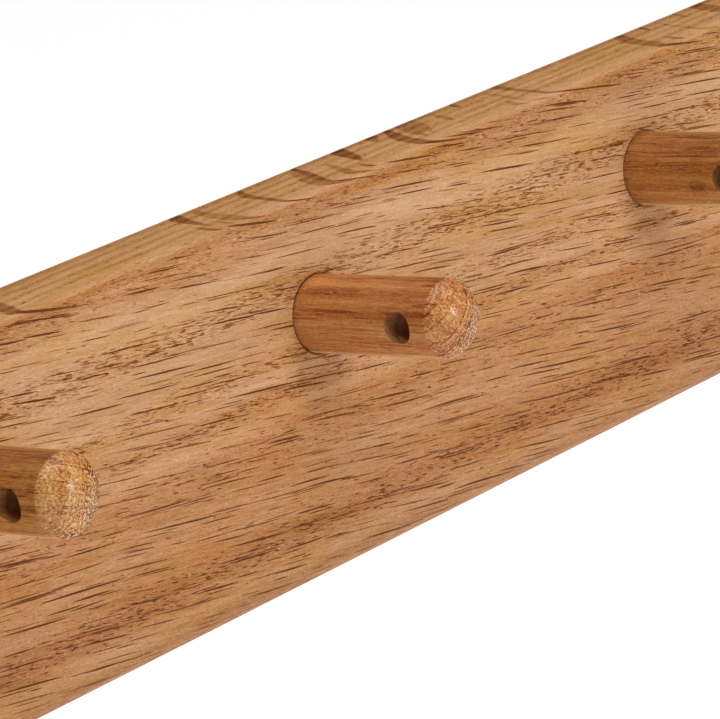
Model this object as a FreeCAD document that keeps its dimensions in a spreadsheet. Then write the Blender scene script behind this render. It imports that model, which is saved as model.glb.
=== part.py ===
"""Wall hook rack: a solid oak rail with a row of round oak pegs, hung on two keyhole plates.

Frame: X runs along the rail, Z is up, and the rail's flat back lies on the plane Y = 0, against the wall.
The origin is the centre of that back, and the pegs point towards -Y. All sizes are in millimetres.
"""
import FreeCAD, Part
import math
import os
import Sketcher

SIZES = (
    ("rail_length", 550.0, "rail, end to end"),
    ("rail_height", 76.0, "rail, bottom edge to top edge"),
    ("rail_thickness", 24.0, "rail, back to front"),
    ("front_round", 4.5, "radius on the rail's front edges and corners"),
    ("back_round", 1.5, "radius on the rail's back edges"),
    ("peg_pitch", 110.0, "peg axis to peg axis"),
    ("peg_drop", 23.5, "peg axis below the rail's top edge"),
    ("peg_diameter", 16.0, "peg, across"),
    ("peg_reach", 38.6, "peg, from the rail's front to the top of its domed tip"),
    ("peg_seat", 16.0, "peg, depth inside the rail"),
    ("peg_play", 0.15, "gap between peg and bore, all round"),
    ("foot_chamfer", 1.0, "chamfer on the end of the peg inside the rail"),
    ("dome_height", 4.9, "domed tip of the peg, measured along the peg"),
    ("dome_edge_round", 0.8, "radius on the edge between the peg's side and its dome"),
    ("cross_hole_diameter", 6.5, "hole through the peg"),
    ("cross_hole_reach", 26.7, "hole's axis in front of the rail"),
    ("plate_spacing", 330.0, "keyhole plate to keyhole plate"),
    ("plate_drop", 28.0, "middle of the plate below the rail's top edge"),
    ("plate_length", 40.0, "plate, end to end"),
    ("plate_width", 16.0, "plate, across"),
    ("plate_thickness", 2.0, "plate, through"),
    ("plate_sink", 0.2, "plate below the rail's back"),
    ("plate_play", 0.2, "gap between plate and recess, all round"),
    ("entry_diameter", 9.0, "keyhole, its round entry for a screw head"),
    ("slot_width", 4.6, "keyhole, its slot for the screw's neck"),
    ("keyhole_travel", 10.0, "centre of the entry up to the centre of the slot's end"),
    ("head_room_depth", 6.0, "room for the screw head behind the plate"),
    ("head_room_margin", 1.0, "room for the screw head beyond the entry, all round"),
    ("screw_spacing", 30.0, "plate screw to plate screw"),
    ("screw_head", 6.0, "plate screw, across its head"),
    ("screw_shank", 3.0, "plate screw, across its thread"),
    ("screw_length", 12.0, "plate screw, top of the head to the point"),
    ("screw_point", 3.0, "plate screw, its tapered point"),
    ("screw_sink", 0.2, "plate screw, top of the head below the plate"),
    ("screw_play", 0.2, "gap between the screw's neck and the plate, all round"),
    ("drive_width", 0.8, "plate screw, width of each slot of the cross"),
    ("drive_span", 3.0, "plate screw, length of each slot of the cross"),
    ("drive_depth", 0.8, "plate screw, depth of the cross"),
    ("pilot_spare", 1.0, "pilot hole beyond the screw's point"),
)
PEGS = ("peg_1", "peg_2", "peg_3", "peg_4", "peg_5")
SIDES = {"left": -1, "right": 1}
ENDS = {"upper": 1, "lower": -1}
COUNTERSINK = 90.0

# Heights above the middle of the rail, and depths behind its back, that several pieces share
PEG_LEVEL = "(Sizes.rail_height / 2 - Sizes.peg_drop)"
PLATE_LEVEL = "(Sizes.rail_height / 2 - Sizes.plate_drop)"
PLATE_FLOOR = "(Sizes.plate_sink + Sizes.plate_thickness)"
SCREW_TOP = "(Sizes.plate_sink + Sizes.screw_sink)"

# The dome is a ball's cap that is as wide as the peg
DOME_RADIUS = "(((Sizes.peg_diameter / 2) ^ 2 + Sizes.dome_height ^ 2) / (2 * Sizes.dome_height))"

# The points of a sketch element, and the sketch's own origin and horizontal axis
START, END, CENTRE = 1, 2, 3
ORIGIN = -1
AXIS = -1
TOLERANCE = 1e-6

doc = FreeCAD.newDocument("WallHookRack")
sheet = doc.addObject("Spreadsheet::Sheet", "Sizes")
for row, (alias, number, meaning) in enumerate(SIZES, start=1):
    sheet.set(f"A{row}", meaning)
    sheet.set(f"B{row}", str(number))
    sheet.setAlias(f"B{row}", alias)
doc.recompute()


def value(formula):
    """What a formula on the sheet's sizes comes to."""
    return float(sheet.evalExpression(formula))


def new_body(label, across, depth, level):
    """An empty body, placed along X, in front of the rail's back and above the rail's middle."""
    body = doc.addObject("PartDesign::Body", label)
    body.Label = label
    body.setExpression("Placement.Base.x", across)
    body.setExpression("Placement.Base.y", f"-{depth}")
    body.setExpression("Placement.Base.z", level)
    return body


def new_sketch(body, name, role, lift=None):
    """A sketch on one of the body's own origin planes, lifted along the plane's normal if asked."""
    sketch = body.newObject("Sketcher::SketchObject", name)
    plane = next(feature for feature in body.Origin.OriginFeatures if feature.Role == role)
    sketch.AttachmentSupport = [(plane, "")]
    sketch.MapMode = "FlatFace"
    if lift:
        sketch.setExpression("AttachmentOffset.Base.z", lift)
    return sketch


def fix(sketch, formula, kind, *where):
    """Adds a dimension to a sketch and ties it to the sheet."""
    index = sketch.addConstraint(Sketcher.Constraint(kind, *where, value(formula)))
    sketch.setExpression(f"Constraints[{index}]", formula)


def fix_point(sketch, element, point, across, up):
    """Ties one point of a sketch element to the sketch's origin."""
    for kind, formula in (("DistanceX", across), ("DistanceY", up)):
        fix(sketch, formula, kind, ORIGIN, START, element, point)


def add_circle(sketch, diameter, across, up):
    """A circle in a sketch."""
    centre = FreeCAD.Vector(value(across), value(up), 0)
    circle = Part.Circle(centre, FreeCAD.Vector(0, 0, 1), value(diameter) / 2)
    element = sketch.addGeometry(circle)
    fix(sketch, diameter, "Diameter", element)
    fix_point(sketch, element, CENTRE, across, up)


def add_slot(sketch, width, across, low, high):
    """An upright slot with round ends. low and high are the centres of its ends."""
    radius = value(width) / 2
    x = value(across)
    turns = ((high, 0.0, math.pi), (low, math.pi, 2 * math.pi))
    arcs = []
    for end, first, last in turns:
        circle = Part.Circle(FreeCAD.Vector(x, value(end), 0), FreeCAD.Vector(0, 0, 1), radius)
        arcs.append(sketch.addGeometry(Part.ArcOfCircle(circle, first, last)))
    top, bottom = arcs
    sides = []
    for side, first, last in ((-1, high, low), (1, low, high)):
        start = FreeCAD.Vector(x + side * radius, value(first), 0)
        stop = FreeCAD.Vector(x + side * radius, value(last), 0)
        sides.append(sketch.addGeometry(Part.LineSegment(start, stop)))
    left, right = sides
    for before, after in ((top, left), (left, bottom), (bottom, right), (right, top)):
        sketch.addConstraint(Sketcher.Constraint("Tangent", before, END, after, START))
    sketch.addConstraint(Sketcher.Constraint("Equal", top, bottom))
    fix(sketch, width, "Diameter", top)
    fix_point(sketch, top, CENTRE, across, high)
    fix_point(sketch, bottom, CENTRE, across, low)


def add_outline(sketch, corners):
    """A closed outline with straight sides. A corner is two formulas, or one if it lies on the axis."""
    points = [FreeCAD.Vector(value(across), value(up) if up else 0, 0) for across, up in corners]
    first = sketch.addGeometry(
        [Part.LineSegment(start, stop) for start, stop in zip(points, points[1:] + points[:1])]
    )[0]
    for number, (across, up) in enumerate(corners):
        before = first + (number - 1) % len(corners)
        side = first + number
        sketch.addConstraint(Sketcher.Constraint("Coincident", before, END, side, START))
        fix(sketch, across, "DistanceX", ORIGIN, START, side, START)
        if up:
            fix(sketch, up, "DistanceY", ORIGIN, START, side, START)
        else:
            sketch.addConstraint(Sketcher.Constraint("PointOnObject", side, START, AXIS))


def pad(body, sketch, length):
    """A block raised from a sketch."""
    feature = body.newObject("PartDesign::Pad", f"{sketch.Name}Pad")
    feature.Profile = sketch
    feature.setExpression("Length", length)
    return feature


def pocket(body, sketch, depth, from_back=False):
    """A cut below a sketch, or above it where the sketch lies on the back of the piece."""
    feature = body.newObject("PartDesign::Pocket", f"{sketch.Name}Cut")
    feature.Profile = sketch
    feature.Reversed = from_back
    if depth:
        feature.setExpression("Length", depth)
    else:
        feature.Type = "ThroughAll"
    return feature


def spin(body, sketch):
    """A round piece turned about the sketch's horizontal axis."""
    feature = body.newObject("PartDesign::Revolution", f"{sketch.Name}Turned")
    feature.Profile = sketch
    feature.ReferenceAxis = (sketch, ["H_Axis"])
    feature.Angle = 360.0
    return feature


def ease(body, kind, name, amount, chosen):
    """A fillet or chamfer on those edges of the body's last feature whose box passes the test."""
    doc.recompute()
    base = body.Tip
    names = [f"Edge{n}" for n, edge in enumerate(base.Shape.Edges, start=1) if chosen(edge.BoundBox)]
    feature = body.newObject(f"PartDesign::{kind}", name)
    feature.Base = (base, names)
    feature.setExpression("Radius" if kind == "Fillet" else "Size", amount)
    return feature


def make_rail():
    """The oak board: front edges and corners rounded, blind peg bores in front, plate recesses behind."""
    body = new_body("rail", "0", "0", "0")
    outline = new_sketch(body, "RailOutline", "XZ_Plane")
    half_length = "Sizes.rail_length / 2"
    half_height = "Sizes.rail_height / 2"
    corners = (
        (f"-{half_length}", f"-{half_height}"),
        (half_length, f"-{half_height}"),
        (half_length, half_height),
        (f"-{half_length}", half_height),
    )
    add_outline(outline, corners)
    pad(body, outline, "Sizes.rail_thickness")
    front = -value("Sizes.rail_thickness")
    ease(body, "Fillet", "FrontRound", "Sizes.front_round", lambda box: box.YMin < front + TOLERANCE)
    ease(body, "Fillet", "BackRound", "Sizes.back_round", lambda box: box.YMin > -TOLERANCE)

    first_bore = new_sketch(body, "PegBore", "XZ_Plane", "Sizes.rail_thickness")
    first_peg = f"-Sizes.peg_pitch * {(len(PEGS) - 1) / 2}"
    add_circle(first_bore, "Sizes.peg_diameter + 2 * Sizes.peg_play", first_peg, PEG_LEVEL)
    bore = pocket(body, first_bore, "Sizes.peg_seat")
    row_of_bores = body.newObject("PartDesign::LinearPattern", "PegBores")
    row_of_bores.Originals = [bore]
    row_of_bores.Direction = (first_bore, ["H_Axis"])
    row_of_bores.setExpression("Length", f"Sizes.peg_pitch * {len(PEGS) - 1}")
    row_of_bores.Occurrences = len(PEGS)
    body.Tip = row_of_bores

    recess = new_sketch(body, "PlateRecess", "XZ_Plane")
    head_room = new_sketch(body, "HeadRoom", "XZ_Plane", PLATE_FLOOR)
    pilots = new_sketch(body, "ScrewPilots", "XZ_Plane", PLATE_FLOOR)
    end_centre = "(Sizes.plate_length - Sizes.plate_width) / 2"
    for side in SIDES.values():
        across = f"{side} * Sizes.plate_spacing / 2"
        add_slot(
            recess,
            "Sizes.plate_width + 2 * Sizes.plate_play",
            across,
            f"{PLATE_LEVEL} - {end_centre}",
            f"{PLATE_LEVEL} + {end_centre}",
        )
        add_slot(
            head_room,
            "Sizes.entry_diameter + 2 * Sizes.head_room_margin",
            across,
            f"{PLATE_LEVEL} - Sizes.keyhole_travel / 2",
            f"{PLATE_LEVEL} + Sizes.keyhole_travel / 2",
        )
        for end in ENDS.values():
            level = f"{PLATE_LEVEL} + {end} * Sizes.screw_spacing / 2"
            add_circle(pilots, "Sizes.screw_shank", across, level)
    pocket(body, recess, PLATE_FLOOR, from_back=True)
    pocket(body, head_room, "Sizes.head_room_depth", from_back=True)
    below_plate = f"Sizes.screw_length + {SCREW_TOP} - {PLATE_FLOOR} + Sizes.pilot_spare"
    pocket(body, pilots, below_plate, from_back=True)
    return body


def add_peg_profile(sketch):
    """Half of the peg's outline, above the sketch's horizontal axis. The tip points to -X."""
    radius = value("Sizes.peg_diameter / 2")
    seat = value("Sizes.peg_seat")
    edge = value("Sizes.dome_edge_round")
    dome = value(DOME_RADIUS)
    tip = -value("Sizes.peg_reach")
    normal = FreeCAD.Vector(0, 0, 1)

    # The edge's arc touches the side and the dome's arc, whose centre is on the axis
    dome_centre = FreeCAD.Vector(tip + dome, 0, 0)
    rise = radius - edge
    run = math.sqrt((dome - edge) ** 2 - rise**2)
    edge_centre = dome_centre + FreeCAD.Vector(-run, rise, 0)
    turn = math.pi - math.atan2(rise, run)
    foot_centre = FreeCAD.Vector(seat, 0, 0)
    foot_rim = FreeCAD.Vector(seat, radius, 0)
    side_end = FreeCAD.Vector(edge_centre.x, radius, 0)
    edge_circle = Part.Circle(edge_centre, normal, edge)
    dome_circle = Part.Circle(dome_centre, normal, dome)

    foot = sketch.addGeometry(Part.LineSegment(foot_centre, foot_rim))
    side = sketch.addGeometry(Part.LineSegment(foot_rim, side_end))
    edge_arc = sketch.addGeometry(Part.ArcOfCircle(edge_circle, math.pi / 2, turn))
    dome_arc = sketch.addGeometry(Part.ArcOfCircle(dome_circle, turn, math.pi))
    axis = sketch.addGeometry(Part.LineSegment(FreeCAD.Vector(tip, 0, 0), foot_centre))
    joints = (
        ("Coincident", foot, side),
        ("Tangent", side, edge_arc),
        ("Tangent", edge_arc, dome_arc),
        ("Coincident", dome_arc, axis),
        ("Coincident", axis, foot),
    )
    for kind, before, after in joints:
        sketch.addConstraint(Sketcher.Constraint(kind, before, END, after, START))
    sketch.addConstraint(Sketcher.Constraint("Vertical", foot))
    sketch.addConstraint(Sketcher.Constraint("Horizontal", side))
    for element, point in ((axis, START), (axis, END), (dome_arc, CENTRE)):
        sketch.addConstraint(Sketcher.Constraint("PointOnObject", element, point, AXIS))
    fix(sketch, "Sizes.dome_edge_round", "Radius", edge_arc)
    fix(sketch, DOME_RADIUS, "Radius", dome_arc)
    fix(sketch, "Sizes.peg_diameter / 2", "DistanceY", ORIGIN, START, foot, END)
    fix(sketch, "Sizes.peg_seat", "DistanceX", ORIGIN, START, foot, START)
    fix(sketch, "-Sizes.peg_reach", "DistanceX", ORIGIN, START, axis, START)


def make_peg(label, steps_from_middle):
    """One turned oak peg with a domed tip and a hole drilled across it, parallel to the rail."""
    across = f"{steps_from_middle} * Sizes.peg_pitch"
    body = new_body(label, across, "Sizes.rail_thickness", PEG_LEVEL)
    profile = new_sketch(body, "PegProfile", "YZ_Plane")
    add_peg_profile(profile)
    spin(body, profile)
    seat = value("Sizes.peg_seat")
    ease(body, "Chamfer", "FootChamfer", "Sizes.foot_chamfer", lambda box: box.YMin > seat - TOLERANCE)
    cross = new_sketch(body, "CrossHole", "YZ_Plane")
    add_circle(cross, "Sizes.cross_hole_diameter", "-Sizes.cross_hole_reach", "0")
    hole = pocket(body, cross, None)
    hole.Midplane = True
    return body


def make_keyhole_plate(label, side):
    """One steel hanger plate with a keyhole, narrow end up, and a countersunk hole near each end."""
    body = new_body(label, f"{side} * Sizes.plate_spacing / 2", "Sizes.plate_sink", PLATE_LEVEL)
    end_centre = "(Sizes.plate_length - Sizes.plate_width) / 2"
    outline = new_sketch(body, "PlateOutline", "XZ_Plane")
    add_slot(outline, "Sizes.plate_width", "0", f"-{end_centre}", end_centre)
    pad(body, outline, "Sizes.plate_thickness")
    entry = new_sketch(body, "KeyholeEntry", "XZ_Plane")
    add_circle(entry, "Sizes.entry_diameter", "0", "-Sizes.keyhole_travel / 2")
    pocket(body, entry, None, from_back=True)
    slot = new_sketch(body, "KeyholeSlot", "XZ_Plane")
    add_slot(slot, "Sizes.slot_width", "0", "-Sizes.keyhole_travel / 2", "Sizes.keyhole_travel / 2")
    pocket(body, slot, None, from_back=True)
    screw_holes = new_sketch(body, "ScrewHoles", "XZ_Plane")
    for end in ENDS.values():
        level = f"{end} * Sizes.screw_spacing / 2"
        add_circle(screw_holes, "Sizes.screw_shank + 2 * Sizes.screw_play", "0", level)
    hole = body.newObject("PartDesign::Hole", "CountersunkHoles")
    hole.Profile = screw_holes
    doc.recompute()
    hole.DepthType = "ThroughAll"
    hole.Reversed = True
    hole.HoleCutType = "Countersink"
    hole.HoleCutCountersinkAngle = COUNTERSINK
    hole.setExpression("Diameter", "Sizes.screw_shank + 2 * Sizes.screw_play")
    hole.setExpression("HoleCutDiameter", "Sizes.screw_head + 2 * Sizes.screw_sink")
    return body


def make_plate_screw(label, side, end):
    """One countersunk wood screw with a cross drive. Its thread is a plain shank of the outer diameter."""
    across = f"{side} * Sizes.plate_spacing / 2"
    level = f"{PLATE_LEVEL} + {end} * Sizes.screw_spacing / 2"
    body = new_body(label, across, SCREW_TOP, level)
    profile = new_sketch(body, "ScrewProfile", "YZ_Plane")
    head_depth = "(Sizes.screw_head - Sizes.screw_shank) / 2"
    corners = (
        ("0", None),
        ("0", "Sizes.screw_head / 2"),
        (f"-{head_depth}", "Sizes.screw_shank / 2"),
        ("Sizes.screw_point - Sizes.screw_length", "Sizes.screw_shank / 2"),
        ("-Sizes.screw_length", None),
    )
    add_outline(profile, corners)
    spin(body, profile)
    slot = new_sketch(body, "DriveSlot", "XZ_Plane")
    half_span = "Sizes.drive_span / 2"
    half_width = "Sizes.drive_width / 2"
    corners = (
        (f"-{half_span}", f"-{half_width}"),
        (half_span, f"-{half_width}"),
        (half_span, half_width),
        (f"-{half_span}", half_width),
    )
    add_outline(slot, corners)
    cut = pocket(body, slot, "Sizes.drive_depth", from_back=True)
    cross = body.newObject("PartDesign::PolarPattern", "DriveCross")
    cross.Originals = [cut]
    cross.Axis = (slot, ["N_Axis"])
    cross.Angle = 90.0
    cross.Occurrences = 2
    body.Tip = cross
    return body


def check(bodies):
    """Stops if a feature failed, a cut took nothing away, or a piece is not one valid solid."""
    cuts = ("PartDesign::Pocket", "PartDesign::Hole")
    for feature in doc.Objects:
        if "Invalid" in feature.State or "Error" in feature.State:
            raise RuntimeError(f"{feature.Name} failed: {feature.State}")
        if feature.TypeId in cuts and feature.Shape.Volume >= feature.BaseFeature.Shape.Volume:
            raise RuntimeError(f"{feature.Name} cuts nothing")
    for body in bodies:
        shape = body.Shape
        if shape.isNull() or not shape.isValid() or len(shape.Solids) != 1:
            raise RuntimeError(f"{body.Label} is not one valid solid")


pieces = [make_rail()]
for number, label in enumerate(PEGS):
    pieces.append(make_peg(label, number - (len(PEGS) - 1) / 2))
for side_name, side in SIDES.items():
    pieces.append(make_keyhole_plate(f"keyhole_plate_{side_name}", side))
    for end_name, end in ENDS.items():
        pieces.append(make_plate_screw(f"plate_screw_{side_name}_{end_name}", side, end))
doc.recompute()
check(pieces)

os.makedirs("parts", exist_ok=True)
for piece in pieces:
    piece.Shape.exportStep(f"parts/{piece.Label}.step")
    box = piece.Shape.BoundBox
    spans = ", ".join(
        f"{low:.2f} to {high:.2f}"
        for low, high in ((box.XMin, box.XMax), (box.YMin, box.YMax), (box.ZMin, box.ZMax))
    )
    print(f"{piece.Label}: {spans}, {piece.Shape.Volume:.0f} mm3")
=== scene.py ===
"""Wall hook rack: an oiled oak rail with five turned oak pegs, hung on two keyhole plates.

X runs along the rail, Z is up, and the pegs point towards -Y. Sizes are in metres. The wood's pattern is
worked out in millimetres, right through the solid, so the grain meets at every edge.
"""
import math

import bmesh
import bpy
from mathutils import Matrix, Vector


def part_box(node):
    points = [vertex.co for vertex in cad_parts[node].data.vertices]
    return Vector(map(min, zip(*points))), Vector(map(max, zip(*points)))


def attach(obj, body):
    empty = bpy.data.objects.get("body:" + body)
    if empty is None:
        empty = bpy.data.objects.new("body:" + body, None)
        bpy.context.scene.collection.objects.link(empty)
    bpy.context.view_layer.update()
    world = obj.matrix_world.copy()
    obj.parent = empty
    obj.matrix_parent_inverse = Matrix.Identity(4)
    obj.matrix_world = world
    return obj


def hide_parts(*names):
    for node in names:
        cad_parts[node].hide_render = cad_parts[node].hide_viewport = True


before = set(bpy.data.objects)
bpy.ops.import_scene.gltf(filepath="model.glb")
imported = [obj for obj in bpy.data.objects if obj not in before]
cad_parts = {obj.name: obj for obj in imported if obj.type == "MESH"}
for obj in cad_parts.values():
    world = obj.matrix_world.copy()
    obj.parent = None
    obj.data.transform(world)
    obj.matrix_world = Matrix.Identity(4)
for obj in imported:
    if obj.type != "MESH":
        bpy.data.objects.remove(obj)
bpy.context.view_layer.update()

MM = 0.001
PEGS = ("peg_1", "peg_2", "peg_3", "peg_4", "peg_5")
SIDES = ("left", "right")

# The rail
RAIL_LOW, RAIL_HIGH = (Vector(corner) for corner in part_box("rail"))
FRONT = RAIL_LOW.y
TOP = RAIL_HIGH.z
FRONT_ROUND = 4.5 * MM
BACK_ROUND = 1.5 * MM
ROUND_STEPS = 14

# The pegs, measured from the rail's front
PEG_LOW, PEG_HIGH = (Vector(corner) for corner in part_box("peg_3"))
PEG_LEVEL = (PEG_LOW.z + PEG_HIGH.z) / 2
PEG_RADIUS = (PEG_HIGH.z - PEG_LOW.z) / 2
PEG_REACH = FRONT - PEG_LOW.y
PEG_SEAT = PEG_HIGH.y - FRONT
PEG_PLAY = 0.15 * MM
FOOT_CHAMFER = 1.0 * MM
DOME_HEIGHT = 4.9 * MM
DOME_EDGE = 0.8 * MM
DOME_RADIUS = (PEG_RADIUS**2 + DOME_HEIGHT**2) / (2 * DOME_HEIGHT)
CROSS_HOLE_RADIUS = 3.25 * MM
CROSS_HOLE_REACH = 26.7 * MM
PEG_TURNS = 128

# The eased brim of each bore
BORE_BRIM = 0.42 * MM

# The recesses behind the keyhole plates
PLATE_PLAY = 0.2 * MM
HEAD_ROOM_DEPTH = 6.0 * MM
HEAD_ROOM_WIDTH = 11.0 * MM
KEYHOLE_TRAVEL = 10.0 * MM

# The keyhole plates, and the radii of the holes for their screws
ENTRY_RADIUS = 4.5 * MM
SLOT_WIDTH = 4.6 * MM
SCREW_SPACING = 30.0 * MM
SCREW_NECK = 1.7 * MM
SCREW_HEAD = 3.2 * MM
SCREW_SHANK = 1.5 * MM


def srgb(red, green, blue):
    """A colour from its screen values, 0 to 255."""
    parts = (channel / 255 for channel in (red, green, blue))
    return (*(part / 12.92 if part <= 0.04045 else ((part + 0.055) / 1.055) ** 2.4 for part in parts), 1.0)


def grey(level):
    return (level, level, level, 1.0)


# ------------------------------------------------------------------ node helpers


class Wire:
    """A value on its way through a finish's nodes."""

    def __init__(self, finish, socket):
        self.finish = finish
        self.socket = socket

    def maths(self, operation, *others):
        values = dict(enumerate((self, *others)))
        return self.finish.node("ShaderNodeMath", {"operation": operation}, values)

    def __add__(self, other):
        return self.maths("ADD", other)

    def __sub__(self, other):
        return self.maths("SUBTRACT", other)

    def __mul__(self, other):
        return self.maths("MULTIPLY", other)

    def __truediv__(self, other):
        return self.maths("DIVIDE", other)

    def __pow__(self, other):
        return self.maths("POWER", other)

    def __abs__(self):
        return self.maths("ABSOLUTE")

    def __rsub__(self, other):
        return self * -1 + other

    __radd__ = __add__
    __rmul__ = __mul__


class Finish:
    """A material, or the room around the object, built node by node."""

    def __init__(self, owner):
        owner.use_nodes = True
        owner.node_tree.nodes.clear()
        self.owner = owner
        self.tree = owner.node_tree

    def node(self, kind, settings=None, values=None, output=0):
        """Any node, from its type, its settings, and the values or wires of its sockets."""
        node = self.tree.nodes.new(kind)
        for name, setting in (settings or {}).items():
            if name == "stops":
                set_stops(node.color_ramp, setting)
            else:
                setattr(node, name, setting)
        for name, value in (values or {}).items():
            if isinstance(value, Wire):
                self.tree.links.new(value.socket, node.inputs[name])
            else:
                node.inputs[name].default_value = value
        if isinstance(output, tuple):
            return [Wire(self, node.outputs[name]) for name in output]
        return Wire(self, node.outputs[output]) if node.outputs else None

    def parts(self, wire):
        """The three numbers in a vector or a colour."""
        return self.node("ShaderNodeSeparateXYZ", values={0: wire}, output=(0, 1, 2))

    def place(self):
        """Where a point is inside the object, in millimetres."""
        return [part / MM for part in self.parts(self.node("ShaderNodeTexCoord", output="Object"))]

    def point(self, x, y, z=0.0):
        return self.node("ShaderNodeCombineXYZ", values={0: x, 1: y, 2: z})

    def noise(self, point, detail=2.0, roughness=0.5):
        """Soft noise from about -1 to 1."""
        values = {"Vector": point, "Scale": 1.0, "Detail": detail, "Roughness": roughness}
        return self.node("ShaderNodeTexNoise", values=values) * 2 - 1

    def soft(self, value, start, end):
        """Rises softly from 0 where the value is at start to 1 where it is at end."""
        values = {"Value": value, "From Min": start, "From Max": end}
        return self.node("ShaderNodeMapRange", {"interpolation_type": "SMOOTHSTEP"}, values)

    def chart(self, value, stops):
        """The colour for a value, from stops in the value's own units."""
        low, high = stops[0][0], stops[-1][0]
        scaled = [((at - low) / (high - low), colour) for at, colour in stops]
        return self.node("ShaderNodeValToRGB", {"stops": scaled}, {"Fac": (value - low) / (high - low)})

    def tint(self, amount, colour, by):
        """A colour stained by another."""
        settings = {"data_type": "RGBA", "blend_type": "MULTIPLY"}
        return self.node("ShaderNodeMix", settings, {0: amount, 6: colour, 7: by}, 2)

    def relief(self, height, depth):
        """The surface's direction after a fine relief, whose height of 1 stands depth metres proud."""
        return self.node("ShaderNodeBump", values={"Height": height, "Distance": depth})

    def surface(self, values):
        """The finished surface."""
        shader = self.node("ShaderNodeBsdfPrincipled", values=values)
        self.node("ShaderNodeOutputMaterial", values={"Surface": shader})
        return self.owner


def set_stops(ramp, stops):
    first, *others = stops
    ramp.elements.remove(ramp.elements[-1])
    ramp.elements[0].position, ramp.elements[0].color = first
    for position, colour in others:
        ramp.elements.new(position).color = colour


# ------------------------------------------------------------------ oak

# Oiled oak from its palest wood, at 0, to the darkest vessel, at 1
RAIL_SHADES = (
    (0.00, srgb(234, 196, 160)),
    (0.20, srgb(218, 173, 133)),
    (0.33, srgb(206, 158, 117)),
    (0.47, srgb(190, 139, 97)),
    (0.57, srgb(177, 123, 79)),
    (0.72, srgb(157, 102, 59)),
    (0.85, srgb(136, 80, 37)),
    (1.00, srgb(97, 50, 18)),
)
PEG_SHADES = (
    (0.00, srgb(232, 190, 138)),
    (0.20, srgb(216, 165, 110)),
    (0.40, srgb(197, 134, 78)),
    (0.55, srgb(180, 113, 58)),
    (0.70, srgb(158, 92, 44)),
    (0.85, srgb(126, 66, 28)),
    (1.00, srgb(82, 40, 18)),
)
RAIL_LOOK = {
    "shades": RAIL_SHADES,
    "tint": (1.02, 1.0, 0.75, 1.0),
    "slope": 0.14,
    "pores": 0.42,
    "streaks": 0.12,
    "rays": 0.85,
    "flecks": 0.40,
    "ripple": 0.45,
    "sheen": 0.14,
}
PEG_LOOK = {
    "shades": PEG_SHADES,
    "tint": (1.03, 0.97, 0.90, 1.0),
    "slope": 0.01,
    "pores": 0.16,
    "streaks": 0.28,
    "rays": 0.36,
    "flecks": 0.23,
    "ripple": 0.5,
    "sheen": 0.36,
}

# Stains over those shades: the red of the spring wood and the hue of the end grain where those woods show,
# and painted light and shade: a warm painted shade behind the rail's front, painted light along the pegs'
# undersides and painted shade inside their cross holes
RED_SPRING_WOOD = (1.03, 0.92, 0.80, 1.0)
# A painted warm shade for the rail's top, back and ends
WARM_SHADE_TINT = (0.97, 0.99, 0.85, 1.0)
END_WOOD = (1.0, 1.07, 1.13, 1.0)
# Painted light for the pegs' undersides, cooler than the wood
UNDERSIDE_LIGHT_TINT = (0.90, 1.0, 1.14, 1.0)
HOLE_SHADE_TINT = (0.84, 0.88, 1.04, 1.0)

# How much darker than usual each peg's stick is, and its hue
PEG_DEPTHS = (0.04, 0.11, 0.0, 0.14, 0.08)
PEG_HUES = (
    (1.0, 1.04, 1.0, 1.0),
    (1.0, 1.15, 1.03, 1.0),
    (1.0, 1.0, 1.0, 1.0),
    (0.97, 1.11, 1.02, 1.0),
    (1.0, 1.05, 0.98, 1.0),
)

# One year's growth: how dark it is, how open its pores are and how red, from one spring to the next
YEAR = (
    (0.00, (0.53, 0.7, 0.3, 1.0)),
    (0.20, (0.51, 0.6, 0.3, 1.0)),
    (0.42, (0.42, 0.3, 0.0, 1.0)),
    (0.70, (0.41, 0.1, 0.0, 1.0)),
    (0.90, (0.49, 0.4, 0.1, 1.0)),
    (1.00, (0.53, 0.7, 0.3, 1.0)),
)
YEAR_WIDTH = 4.3

# The years that lie open on the rail's front, by their distance beyond the year at its top edge
FRONT_YEARS = (
    (-6.5, (0.50, 0.4, 0.0, 1.0)),
    (-4.8, (0.42, 0.3, 0.0, 1.0)),
    (-3.4, (0.45, 0.3, 0.0, 1.0)),
    (-2.2, (0.47, 0.3, 0.0, 1.0)),
    (-1.3, (0.62, 0.5, 0.0, 1.0)),
    (-0.4, (0.61, 0.6, 0.0, 1.0)),
    (0.45, (0.46, 0.5, 0.3, 1.0)),
    (0.80, (0.32, 0.1, 0.0, 1.0)),
    (1.25, (0.33, 0.1, 0.0, 1.0)),
    (1.80, (0.39, 0.8, 0.2, 1.0)),
    (2.60, (0.43, 0.9, 0.3, 1.0)),
    (3.20, (0.40, 0.2, 0.0, 1.0)),
    (4.20, (0.45, 0.0, 0.0, 1.0)),
    (4.80, (0.39, 0.2, 0.0, 1.0)),
    (5.80, (0.47, 0.9, 0.4, 1.0)),
    (7.00, (0.40, 0.2, 0.0, 1.0)),
    (8.30, (0.51, 0.8, 0.5, 1.0)),
    (9.70, (0.40, 0.2, 0.2, 1.0)),
    (11.4, (0.54, 0.5, 0.7, 1.0)),
    (13.4, (0.53, 0.5, 0.5, 1.0)),
    (15.0, (0.50, 0.2, 0.3, 1.0)),
    (19.5, (0.51, 0.3, 0.4, 1.0)),
    (22.8, (0.65, 0.8, 0.8, 1.0)),
    (24.8, (0.54, 0.4, 0.3, 1.0)),
    (26.2, (0.47, 0.1, 0.0, 1.0)),
    (27.2, (0.52, 0.1, 0.0, 1.0)),
    (28.2, (0.62, 0.1, 0.0, 1.0)),
    (31.0, (0.64, 0.3, 0.0, 1.0)),
)

# The layers of rays: how far apart they lie along and across the grain, their length and their width
RAY_LAYERS = (
    ((23.0, 3.1), 19.0, 0.36),
    ((19.0, 3.9), 14.0, 0.30),
    ((31.0, 5.0), 25.0, 0.42),
    ((13.0, 3.1), 8.0, 0.22),
)

# The log's pith ran along the rail, behind and above it
PITH_BEHIND_FRONT = 90.0
PITH_ABOVE_TOP = 3.8


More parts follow.
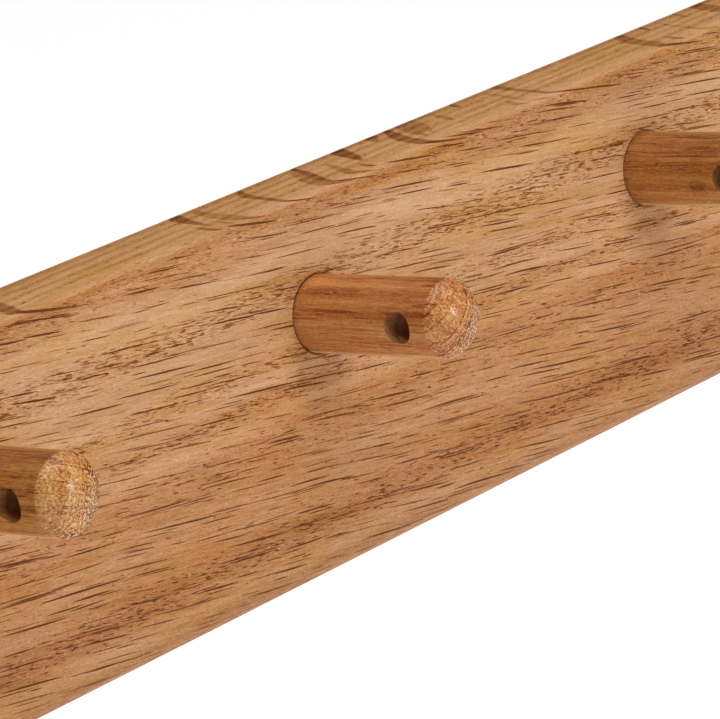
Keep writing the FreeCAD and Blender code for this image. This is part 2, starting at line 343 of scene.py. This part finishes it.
def cells(finish, point, flat=False):
    """Scattered points: where the nearest one is, and three numbers of its own."""
    settings = {"voronoi_dimensions": "2D" if flat else "3D"}
    values = {"Vector": point, "Scale": 1.0}
    centre, lot = finish.node("ShaderNodeTexVoronoi", settings, values, ("Position", "Color"))
    return finish.parts(centre), finish.parts(lot)


def spindles(finish, along, across, spacing, length, width):
    """The thin dark spindles that wood rays show, one to a cell, each with its own length and width."""
    step_along, step_across = spacing
    point = finish.point(along / step_along, across / step_across)
    (centre_along, centre_across, _), (long, strong, wide) = cells(finish, point, flat=True)
    reach = (long * 0.6 + 0.4) * (length / 2)
    taper = 1 - ((along - centre_along * step_along) / reach) ** 2
    half_width = (wide * 0.3 + 0.2) * width * taper.maths("MAXIMUM", 0.0)
    beside = abs(across - centre_across * step_across)
    inside = finish.soft(beside - half_width, 0.05, -0.06)
    return inside * finish.soft(taper, 0.0, 0.3) * (strong * 0.6 + 0.4)


def oak(finish, along, across, up, years, look, depth=0.0, end_grain=0.0):
    """Oiled oak round a pith on the line across = up = 0. Returns its colour, roughness and relief."""
    wander = finish.noise(finish.point(along / 120, across / 24, up / 24), 2.0)
    ripple = finish.noise(finish.point(along / 40, across / 4, up / 4), 1.0)
    radius = (across * across + up * up) ** 0.5 + wander * 0.45 + ripple * look["ripple"]
    dark, pores, red = years(finish, radius)
    dark = dark + (0.46 - dark) * end_grain * 0.6

    swing = finish.noise(finish.point(along / 45, across / 40, up / 9), 1.0) * 1.1
    beside = up * PITH_BEHIND_FRONT / across + along * look["slope"] + swing
    # A ray shows dark and thin where it ends on the front, softer and wider where it is cut along its sheet
    near_front = finish.soft(across, PITH_BEHIND_FRONT - 6.0, PITH_BEHIND_FRONT - 1.0)
    spread = 1.9 - near_front * 0.9
    rays = 0.0
    for step, (spacing, length, width) in enumerate(RAY_LAYERS):
        more = spindles(finish, along + 71 * step, beside + 37 * step, spacing, length, spread * width)
        rays = more.maths("MAXIMUM", rays)
    rays = rays * (near_front * (look["rays"] - look["flecks"]) + look["flecks"])

    lean = up + along * look["slope"]
    open_pores = finish.noise(finish.point(along / 2.4, across / 0.27, lean / 0.27), 1.0)
    open_pores = finish.soft(open_pores + pores * 0.46, 0.50, 0.66)
    # Pale marks at the open pores are painted highlights on the pores' edges
    painted_pore_glints = finish.noise(finish.point(along / 1.3 + 50, across / 0.25, lean / 0.25), 1.0)
    painted_pore_glints = finish.soft(painted_pore_glints + pores * 0.42, 0.50, 0.66)
    grit = finish.noise(finish.point(along / 0.8, across / 0.2, lean / 0.2), 1.0)

    fibre = finish.noise(finish.point(along / 3.6, across / 0.34, lean / 0.34), 3.0, 0.7)
    streak = finish.noise(finish.point(along / 30, across / 0.9, lean / 0.9), 3.0, 0.6)
    band = finish.noise(finish.point(along / 60, across / 2.4, lean / 2.4), 2.0)
    cloud = finish.noise(finish.point(along / 32, across / 10, up / 10), 2.0)
    shade = dark + depth + fibre * 0.25 + grit * 0.22
    shade = shade + streak * look["streaks"] + band * 0.13 + cloud * 0.06
    shade = shade + rays + open_pores * look["pores"] - painted_pore_glints * 0.18
    # Across the grain's ends the vessels show as dark dots and the fibres between them as pale ones
    vessels = finish.noise(finish.point(along / 2, across / 0.38, up / 0.38), 0.0)
    crowd = finish.noise(finish.point(along / 9, across / 3.2, up / 3.2), 1.0)
    dots = finish.soft(vessels + crowd * 0.3, 0.0, 0.34) * 0.54 - finish.soft(vessels, -0.08, -0.38) * 0.42
    shade = shade + dots * end_grain
    colour = finish.chart(shade, look["shades"])
    colour = finish.tint(finish.soft(cloud + band * 0.6, -0.3, 0.5), colour, look["tint"])
    colour = finish.tint(red, colour, RED_SPRING_WOOD)
    roughness = 0.44 + fibre * 0.08 + open_pores * 0.15 + rays * 0.1
    height = fibre * 0.35 - open_pores * 0.8 - rays
    return colour, roughness, height


def rail_years(finish, radius):
    """The rail's growth: even years inside the year at its top edge, and its own open years beyond it."""
    beyond = radius - PITH_BEHIND_FRONT
    inner = finish.parts(finish.chart((beyond / YEAR_WIDTH).maths("FRACT"), YEAR))
    outer = finish.parts(finish.chart(beyond, FRONT_YEARS))
    outside = finish.soft(beyond, -6.5, -5.0)
    return [first + (second - first) * outside for first, second in zip(inner, outer)]


def even_years(finish, radius):
    return finish.parts(finish.chart((radius / YEAR_WIDTH).maths("FRACT"), YEAR))


def oiled(finish, look, colour, roughness, height):
    """The oil's low sheen over the wood."""
    values = {
        "Base Color": colour,
        "Roughness": roughness,
        "Normal": finish.relief(height, 0.07 * MM),
        "IOR": 1.45,
        "Specular IOR Level": look["sheen"],
    }
    return finish.surface(values)


def make_rail_oak():
    finish = Finish(bpy.data.materials.new("oiled_oak_rail"))
    x, y, z = finish.place()
    pith_y = FRONT / MM + PITH_BEHIND_FRONT
    pith_z = TOP / MM + PITH_ABOVE_TOP
    end = RAIL_HIGH.x / MM
    end_grain = finish.soft(abs(x), end - 1.5, end - 0.3)
    # Behind the front and its rounded edges the wood is tinted more yellow: painted shade, standing in for
    # the dimmer, warmer light on the top face. It also turns darker towards the back.
    painted_warm_shade = finish.soft(y, -22.0, -17.0)
    darker = finish.soft(y, -11.0, -2.0) * 0.09
    across, up = pith_y - y, z - pith_z
    colour, roughness, height = oak(finish, x, across, up, rail_years, RAIL_LOOK, darker, end_grain)
    colour = finish.tint(painted_warm_shade, colour, WARM_SHADE_TINT)
    return oiled(finish, RAIL_LOOK, colour, roughness, height)


def make_peg_oak(number, middle_x):
    """Each peg is cut from its own stick, so its rings lie its own way."""
    finish = Finish(bpy.data.materials.new(f"oiled_oak_peg_{number}"))
    x, y, z = finish.place()
    turn = math.radians(25 + 67 * number)
    away = 34.0 + 9.0 * number
    side = x - middle_x / MM
    lift = z - PEG_LEVEL / MM
    across = side * math.cos(turn) + lift * math.sin(turn) + away
    up = lift * math.cos(turn) - side * math.sin(turn)

    dome_start = (FRONT - PEG_REACH + DOME_HEIGHT) / MM
    dome = finish.soft(y, dome_start + 0.2, dome_start - 0.3)
    # The end grain is more open on one side of the stick. The dome is painted darker towards its rim, away
    # from where the front light strikes it: painted shade.
    open_side = finish.soft(side - lift * 0.6, -4.0, 5.0) * dome
    rim = finish.soft(((side + 2.2) ** 2 + (lift - 1.0) ** 2) ** 0.5, 1.5, 9.5) * dome
    # A pale, cool strip along the underside is painted light from the floor below, and the upper side is
    # painted darker: painted shade against the light from above
    painted_underside_light = finish.soft(lift, -6.0, -6.6) * (1 - dome)
    painted_top_shade = finish.soft(lift, 0.5, 7.5) * (1 - dome) * 0.15
    depth = PEG_DEPTHS[number - 1] * (1 - dome) + painted_top_shade - painted_underside_light * 0.24
    # Painted shade at the dome's rim, and painted light over the whole dome, which faces the front light
    depth = depth + rim * 0.17 - dome * 0.06
    end_grain = dome * 0.35 + open_side * 0.65
    along = y + 300 * number
    colour, roughness, height = oak(finish, along, across, up, even_years, PEG_LOOK, depth, end_grain)
    colour = finish.tint(1 - dome * 0.6, colour, PEG_HUES[number - 1])
    colour = finish.tint(painted_underside_light, colour, UNDERSIDE_LIGHT_TINT)
    colour = finish.tint(dome, colour, END_WOOD)
    # Painted shade inside the cross hole: the wood there is tinted darker and greyer
    hole_centre = (FRONT - CROSS_HOLE_REACH) / MM
    from_hole = ((y - hole_centre) ** 2 + lift**2) ** 0.5
    painted_hole_shade = finish.soft(from_hole, CROSS_HOLE_RADIUS / MM + 0.1, CROSS_HOLE_RADIUS / MM)
    colour = finish.tint(painted_hole_shade, colour, HOLE_SHADE_TINT)
    # The dome was sanded finest at its middle
    roughness = roughness - (dome - rim) * 0.26 + rim * 0.2
    return oiled(finish, PEG_LOOK, colour, roughness, height * (1 - dome * 0.6))


def make_steel(name, colour, roughness):
    """Zinc-plated steel, with a faint rolling grain and a mottled skin."""
    finish = Finish(bpy.data.materials.new(name))
    x, y, z = finish.place()
    rolled = finish.noise(finish.point(x / 0.12, y / 0.12, z / 3.0), 2.0)
    _, (tone, _, _) = cells(finish, finish.point(x / 0.7, y / 0.7, z / 0.7))
    worn = finish.noise(finish.point(x / 4, y / 4, z / 4), 3.0)
    dull = finish.soft(worn + rolled * 0.3, -0.5, 0.6)
    colour = finish.tint(dull, colour, (0.80, 0.80, 0.79, 1.0))
    colour = finish.tint(tone * 0.35, colour, (0.86, 0.88, 0.91, 1.0))
    normal = finish.relief(rolled * 0.6 + tone * 0.3, 0.01 * MM)
    rough = dull * 0.12 + tone * 0.06 + roughness
    return finish.surface({"Base Color": colour, "Metallic": 1.0, "Roughness": rough, "Normal": normal})


# ------------------------------------------------------------------ shapes


def finish_shape(form, name, crisp=35.0):
    """A bmesh made into an object: smooth where it curves, crisp at its edges."""
    mesh = bpy.data.meshes.new(name)
    form.to_mesh(mesh)
    form.free()
    piece = bpy.data.objects.new(name, mesh)
    bpy.context.scene.collection.objects.link(piece)
    shade(piece, crisp)
    return piece


def shade(piece, crisp):
    piece.data.shade_smooth()
    piece.data.set_sharp_from_angle(angle=math.radians(crisp))


def take_away(piece, cutters, crisp=35.0):
    """Cuts other shapes out of a piece, and clears them away."""
    for cutter in cutters:
        modifier = piece.modifiers.new("cut", "BOOLEAN")
        modifier.object = cutter
        modifier.operation = "DIFFERENCE"
        modifier.solver = "EXACT"
    depsgraph = bpy.context.evaluated_depsgraph_get()
    cut_mesh = bpy.data.meshes.new_from_object(piece.evaluated_get(depsgraph))
    piece.modifiers.clear()
    piece.data = cut_mesh
    for cutter in cutters:
        bpy.data.objects.remove(cutter)
    shade(piece, crisp)


def round_bar(radius, start, end, steps=PEG_TURNS, spread=0.0):
    """A round bar between two points, for cutting holes. Its start may be wider than its end."""
    form = bmesh.new()
    run = end - start
    place = Matrix.Translation((start + end) / 2) @ run.to_track_quat("Z", "Y").to_matrix().to_4x4()
    bmesh.ops.create_cone(
        form,
        cap_ends=True,
        segments=steps,
        radius1=radius + spread,
        radius2=radius,
        depth=run.length,
        matrix=place,
    )
    return finish_shape(form, "cutter")


def long_slab(width, middle_x, low_z, high_z, first_y, last_y):
    """An upright slab with round ends. low_z and high_z are the centres of its ends."""
    form = bmesh.new()
    bmesh.ops.create_circle(form, cap_ends=True, segments=64, radius=width / 2)
    stretch = (high_z - low_z) / 2
    for vert in form.verts:
        vert.co.y += math.copysign(stretch, vert.co.y)
    upright = Matrix.Rotation(math.pi / 2, 4, "X")
    place = Matrix.Translation((middle_x, first_y, (low_z + high_z) / 2)) @ upright
    bmesh.ops.transform(form, matrix=place, verts=form.verts)
    grown = bmesh.ops.extrude_face_region(form, geom=form.faces)["geom"]
    moved = [part for part in grown if isinstance(part, bmesh.types.BMVert)]
    bmesh.ops.translate(form, verts=moved, vec=(0, last_y - first_y, 0))
    bmesh.ops.recalc_face_normals(form, faces=form.faces)
    return finish_shape(form, "cutter")


def middle(node):
    low, high = (Vector(corner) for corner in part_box(node))
    return (low + high) / 2


def make_rail():
    """The rail: its front edges and corners generously rounded, its back edges just eased."""
    form = bmesh.new()
    size = RAIL_HIGH - RAIL_LOW
    place = Matrix.Translation((RAIL_LOW + RAIL_HIGH) / 2) @ Matrix.Diagonal((*size, 1.0))
    bmesh.ops.create_cube(form, size=1.0, matrix=place)
    in_front = [edge for edge in form.edges if min(vert.co.y for vert in edge.verts) < FRONT / 2]
    rounding = {"profile": 0.5, "affect": "EDGES", "material": -1}
    bmesh.ops.bevel(form, geom=in_front, offset=FRONT_ROUND, segments=ROUND_STEPS, **rounding)
    behind = [edge for edge in form.edges if min(vert.co.y for vert in edge.verts) > -MM / 10]
    bmesh.ops.bevel(form, geom=behind, offset=BACK_ROUND, segments=6, **rounding)
    rail = finish_shape(form, "oak_rail")

    cutters = []
    for peg in PEGS:
        centre = Vector((middle(peg).x, FRONT, PEG_LEVEL))
        bore = PEG_RADIUS + PEG_PLAY
        cutters.append(round_bar(bore, centre + Vector((0, -MM, 0)), centre + Vector((0, PEG_SEAT, 0))))
        brim = Vector((0, BORE_BRIM, 0))
        cutters.append(round_bar(bore, centre - brim, centre + brim, spread=2 * BORE_BRIM))
    for side in SIDES:
        low, high = (Vector(corner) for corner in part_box(f"keyhole_plate_{side}"))
        centre = (low + high) / 2
        ends = (high.z - low.z - (high.x - low.x)) / 2
        width = high.x - low.x + 2 * PLATE_PLAY
        cutters.append(long_slab(width, centre.x, centre.z - ends, centre.z + ends, low.y, MM))
        travel = KEYHOLE_TRAVEL / 2
        floor = low.y - HEAD_ROOM_DEPTH
        cutters.append(long_slab(HEAD_ROOM_WIDTH, centre.x, centre.z - travel, centre.z + travel, floor, MM))
        for end in ("upper", "lower"):
            screw = f"plate_screw_{side}_{end}"
            pilot = middle(screw)
            depth = Vector((0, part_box(screw)[0][1] - pilot.y - MM, 0))
            cutters.append(round_bar(SCREW_SHANK, pilot - depth, pilot + depth, 32))
    take_away(rail, cutters)
    rail.modifiers.new("even_light", "WEIGHTED_NORMAL").keep_sharp = True
    return rail


def make_peg(node):
    """A turned peg: a plain side, a domed tip with its edge just broken, and a hole across it."""
    form = bmesh.new()
    tip = FRONT - PEG_REACH
    foot = FRONT + PEG_SEAT
    dome_centre = tip + DOME_RADIUS
    rise = PEG_RADIUS - DOME_EDGE
    run = math.sqrt((DOME_RADIUS - DOME_EDGE) ** 2 - rise**2)
    edge_centre = dome_centre - run
    turn = math.atan2(rise, run)

    outline = [(foot, 0.0), (foot, PEG_RADIUS - FOOT_CHAMFER), (foot - FOOT_CHAMFER, PEG_RADIUS)]
    for step in range(7):
        angle = math.pi / 2 + (turn - math.pi / 2) * step / 6
        outline.append((edge_centre - DOME_EDGE * math.cos(angle), rise + DOME_EDGE * math.sin(angle)))
    for step in range(1, 25):
        angle = turn * (1 - step / 24)
        outline.append((dome_centre - DOME_RADIUS * math.cos(angle), DOME_RADIUS * math.sin(angle)))

    across = middle(node).x
    verts = [form.verts.new((across + out, y, PEG_LEVEL)) for y, out in outline]
    edges = [form.edges.new(pair) for pair in zip(verts, verts[1:])]
    bmesh.ops.spin(
        form,
        geom=verts + edges,
        cent=(across, 0, PEG_LEVEL),
        axis=(0, 1, 0),
        angle=2 * math.pi,
        steps=PEG_TURNS,
        use_merge=True,
    )
    bmesh.ops.remove_doubles(form, verts=form.verts, dist=MM / 1000)
    bmesh.ops.recalc_face_normals(form, faces=form.faces)
    peg = finish_shape(form, f"oak_{node}")
    hole = Vector((across, FRONT - CROSS_HOLE_REACH, PEG_LEVEL))
    half = Vector((2 * PEG_RADIUS, 0, 0))
    take_away(peg, [round_bar(CROSS_HOLE_RADIUS, hole - half, hole + half, 64)])
    return peg


def make_plate(node):
    """A stamped keyhole plate: its edges just rounded, with a countersunk hole near each end."""
    low, high = (Vector(corner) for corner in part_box(node))
    centre = (low + high) / 2
    width = high.x - low.x
    ends = (high.z - low.z - width) / 2
    plate = long_slab(width, centre.x, centre.z - ends, centre.z + ends, low.y, high.y)
    plate.name = f"steel_{node}"
    travel = KEYHOLE_TRAVEL / 2
    through = Vector((0, PLATE_PLAY + high.y - low.y, 0))
    entry = centre - Vector((0, 0, travel))
    cutters = [
        round_bar(ENTRY_RADIUS, entry - through, entry + through, 64),
        long_slab(SLOT_WIDTH, centre.x, centre.z - travel, centre.z + travel, low.y - MM, high.y + MM),
    ]
    for end in (-1, 1):
        hole = centre + Vector((0, 0, end * SCREW_SPACING / 2))
        cutters.append(round_bar(SCREW_NECK, hole - through, hole + through, 48))
        flare = SCREW_HEAD - SCREW_NECK
        sink = Vector((0, flare, 0))
        top = Vector((hole.x, high.y, hole.z))
        cutters.append(round_bar(SCREW_NECK, top + sink, top - sink, 48, spread=2 * flare))
    take_away(plate, cutters)
    edges = plate.modifiers.new("stamped_edges", "BEVEL")
    edges.width = 0.15 * MM
    edges.segments = 2
    edges.limit_method = "ANGLE"
    edges.angle_limit = math.radians(40)
    return plate


def dress(piece, material, node):
    """Gives a piece its finish, and lets it stand for its CAD node."""
    piece.data.materials.clear()
    piece.data.materials.append(material)
    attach(piece, "root")
    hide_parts(node)


dress(make_rail(), make_rail_oak(), "rail")
for number, node in enumerate(PEGS, start=1):
    dress(make_peg(node), make_peg_oak(number, middle(node).x), node)
plate_steel = make_steel("zinc_plated_plate", srgb(205, 207, 210), 0.30)
screw_steel = make_steel("zinc_plated_screw", srgb(196, 190, 172), 0.24)
for side in SIDES:
    dress(make_plate(f"keyhole_plate_{side}"), plate_steel, f"keyhole_plate_{side}")
    for end in ("upper", "lower"):
        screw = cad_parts[f"plate_screw_{side}_{end}"]
        screw.data.materials.clear()
        screw.data.materials.append(screw_steel)


# ------------------------------------------------------------------ room, light and camera

FLOOR_LEVEL = RAIL_LOW.z - 0.35
CAMERA_TURN = math.radians(-47.21)
CAMERA_RISE = math.radians(14.06)
CAMERA_ROLL = math.radians(-9.98)
CAMERA_DISTANCE = 0.9399
CAMERA_LENS = 234.4
AIM_RIGHT = 6.08 * MM
AIM_UP = -10.45 * MM


def direction(turn, rise):
    """The way from the object towards something at this azimuth and elevation."""
    return Vector((math.sin(turn) * math.cos(rise), -math.cos(turn) * math.cos(rise), math.sin(rise)))


def make_floor():
    form = bmesh.new()
    place = Matrix.Translation((0, 0, FLOOR_LEVEL))
    bmesh.ops.create_grid(form, x_segments=1, y_segments=1, size=12.0, matrix=place)
    floor = finish_shape(form, "floor")
    finish = Finish(bpy.data.materials.new("pale_floor"))
    glow = {"Emission Color": grey(1.0), "Emission Strength": 0.935}
    floor.data.materials.append(finish.surface({"Base Color": grey(0.30), "Roughness": 0.9, **glow}))


def make_light(name, turn, rise, distance, width, height, power):
    """A softbox that faces the middle of the rail."""
    lamp = bpy.data.lights.new(name, "AREA")
    lamp.shape = "RECTANGLE"
    lamp.size = width
    lamp.size_y = height
    lamp.energy = power
    light = bpy.data.objects.new(name, lamp)
    back = direction(math.radians(turn), math.radians(rise))
    light.location = back * distance
    light.rotation_euler = back.to_track_quat("Z", "Y").to_euler()
    bpy.context.scene.collection.objects.link(light)


def make_camera():
    back = direction(CAMERA_TURN, CAMERA_RISE)
    level = Vector((0, 0, 1)).cross(back).normalized()
    upright = back.cross(level)
    turned = Matrix((level, upright, back)).transposed().to_4x4() @ Matrix.Rotation(CAMERA_ROLL, 4, "Z")
    aim = Vector((middle("peg_3").x, FRONT, PEG_LEVEL)) + level * AIM_RIGHT + upright * AIM_UP
    lens = bpy.data.cameras.new("camera")
    lens.lens = CAMERA_LENS
    lens.clip_start = 0.01
    camera = bpy.data.objects.new("camera", lens)
    camera.matrix_world = Matrix.Translation(aim + back * CAMERA_DISTANCE) @ turned
    bpy.context.scene.collection.objects.link(camera)
    bpy.context.scene.camera = camera


def make_room():
    """A white room that only lights the object dimly, so the softboxes shape it."""
    world = bpy.data.worlds.new("soft_room")
    room = Finish(world)
    seen = room.node("ShaderNodeLightPath", output="Is Camera Ray")
    light = room.node("ShaderNodeBackground", values={"Color": grey(1.0), "Strength": seen * 0.9 + 0.1})
    room.node("ShaderNodeOutputWorld", values={"Surface": light})
    bpy.context.scene.world = world
    bpy.context.scene.view_settings.view_transform = "Standard"


make_floor()
make_room()
make_light("front_softbox", 7, 15, 1.5, 0.24, 0.52, 6.2)
make_light("top_softbox", 8, 80, 1.6, 1.8, 1.2, 28)
make_light("back_softbox", 228, 4, 1.5, 0.6, 0.6, 2.5)
make_camera()
